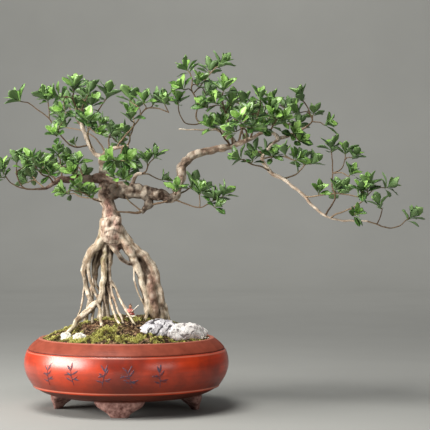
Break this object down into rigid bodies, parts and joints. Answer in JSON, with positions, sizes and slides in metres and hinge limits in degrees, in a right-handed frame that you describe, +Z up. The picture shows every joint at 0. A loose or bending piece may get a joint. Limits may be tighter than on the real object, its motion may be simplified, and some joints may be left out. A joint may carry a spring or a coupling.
{
  "type": "potted bonsai tree",
  "caption": "Gardenia bonsai with exposed roots and wide leafy branches in a round footed clay pot, with stones and a small seated figurine on its soil.",
  "frame": {"origin": "on the ground, under the middle of pot and foliage together", "axes": "+X along the branches to the right, +Y to the back, +Z up; the pot's axis is 160 mm to -X"},
  "size_m": [0.8526, 0.408, 0.7193],
  "materials": {
    "pot": "satin",
    "soil": "matte",
    "wood": "matte",
    "leaf": "satin",
    "grey_stone": "matte",
    "veined_stone": "matte",
    "white_stone": "matte",
    "figurine": "satin"
  },
  "bodies": {
    "root": {"pot": "pot", "soil": "soil", "trunk": "wood", "stone_tall": "grey_stone", "stone_flat": "veined_stone", "pebble_left": "white_stone", "pebble_right": "white_stone", "figurine": "figurine", "spray_crown_far_left": "leaf", "spray_crown_left": "leaf", "spray_crown_top": "leaf", "spray_crown_back": "leaf", "spray_crown_right": "leaf", "spray_crown_front": "leaf", "spray_crown_inner": "leaf", "spray_middle_tall": "leaf", "spray_middle_left": "leaf", "spray_middle_top": "leaf", "spray_middle_front": "leaf", "spray_left_tip": "leaf", "spray_left_low": "leaf", "spray_left_front": "leaf", "spray_left_back": "leaf", "spray_left_up": "leaf", "spray_left_inner": "leaf", "spray_left_inner_back": "leaf", "spray_low_left_front": "leaf", "spray_low_left_back": "leaf", "spray_heart_front": "leaf", "spray_heart_back": "leaf", "spray_riser": "leaf", "spray_riser_side": "leaf", "spray_low_loop": "leaf", "spray_low_right": "leaf", "spray_low_right_back": "leaf", "spray_elbow": "leaf", "spray_peak_left": "leaf", "spray_canopy_a": "leaf", "spray_canopy_b": "leaf", "spray_canopy_c": "leaf", "spray_canopy_d": "leaf", "spray_canopy_e": "leaf", "spray_canopy_low": "leaf", "spray_canopy_back": "leaf", "spray_canopy_front": "leaf", "spray_fork_tip": "leaf", "spray_fork_side": "leaf", "spray_fork_back": "leaf", "spray_long_left": "leaf", "spray_long_top": "leaf", "spray_long_shoulder": "leaf", "spray_long_upright": "leaf", "spray_long_level": "leaf", "spray_long_tall": "leaf", "spray_long_end": "leaf", "spray_long_tip": "leaf"}
  },
  "joints": []
}
